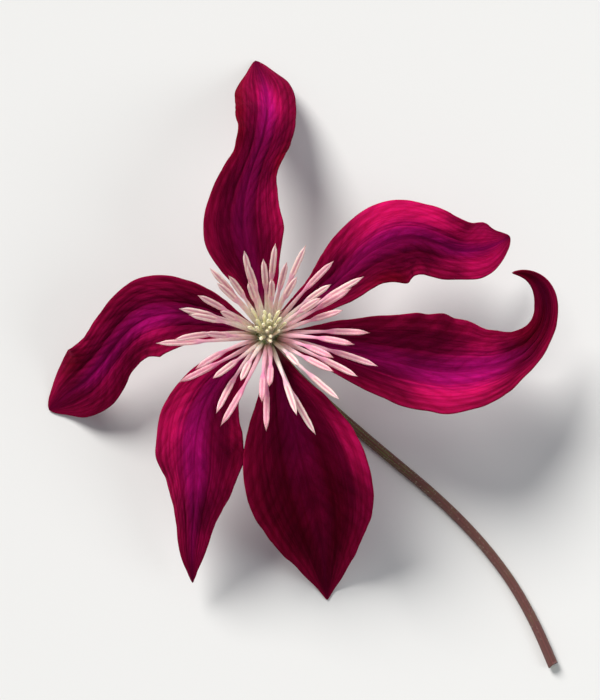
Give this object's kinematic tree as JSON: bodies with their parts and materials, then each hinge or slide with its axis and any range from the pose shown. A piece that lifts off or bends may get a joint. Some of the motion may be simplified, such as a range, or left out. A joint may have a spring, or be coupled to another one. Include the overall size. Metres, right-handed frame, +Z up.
{
  "type": "clematis flower",
  "caption": "Single clematis flower with spreading, twisted tepals, a brush of stamens and a bare cut stalk, lying face up.",
  "frame": {"origin": "on the surface that the flower lies on, under the middle of its box", "axes": "+Z up, out of the flower's face; the stalk runs off towards +X and -Y"},
  "size_m": [0.09, 0.1094, 0.031],
  "materials": {
    "tepal": "velvety, matt",
    "stamen": "silky, matt",
    "style": "silky, matt",
    "stalk": "finely ribbed, satin"
  },
  "bodies": {
    "root": {"stalk": "stalk", "stamens": "stamen", "styles": "style", "tepal_1": "tepal", "tepal_2": "tepal", "tepal_3": "tepal", "tepal_4": "tepal", "tepal_5": "tepal", "tepal_6": "tepal"}
  },
  "joints": []
}
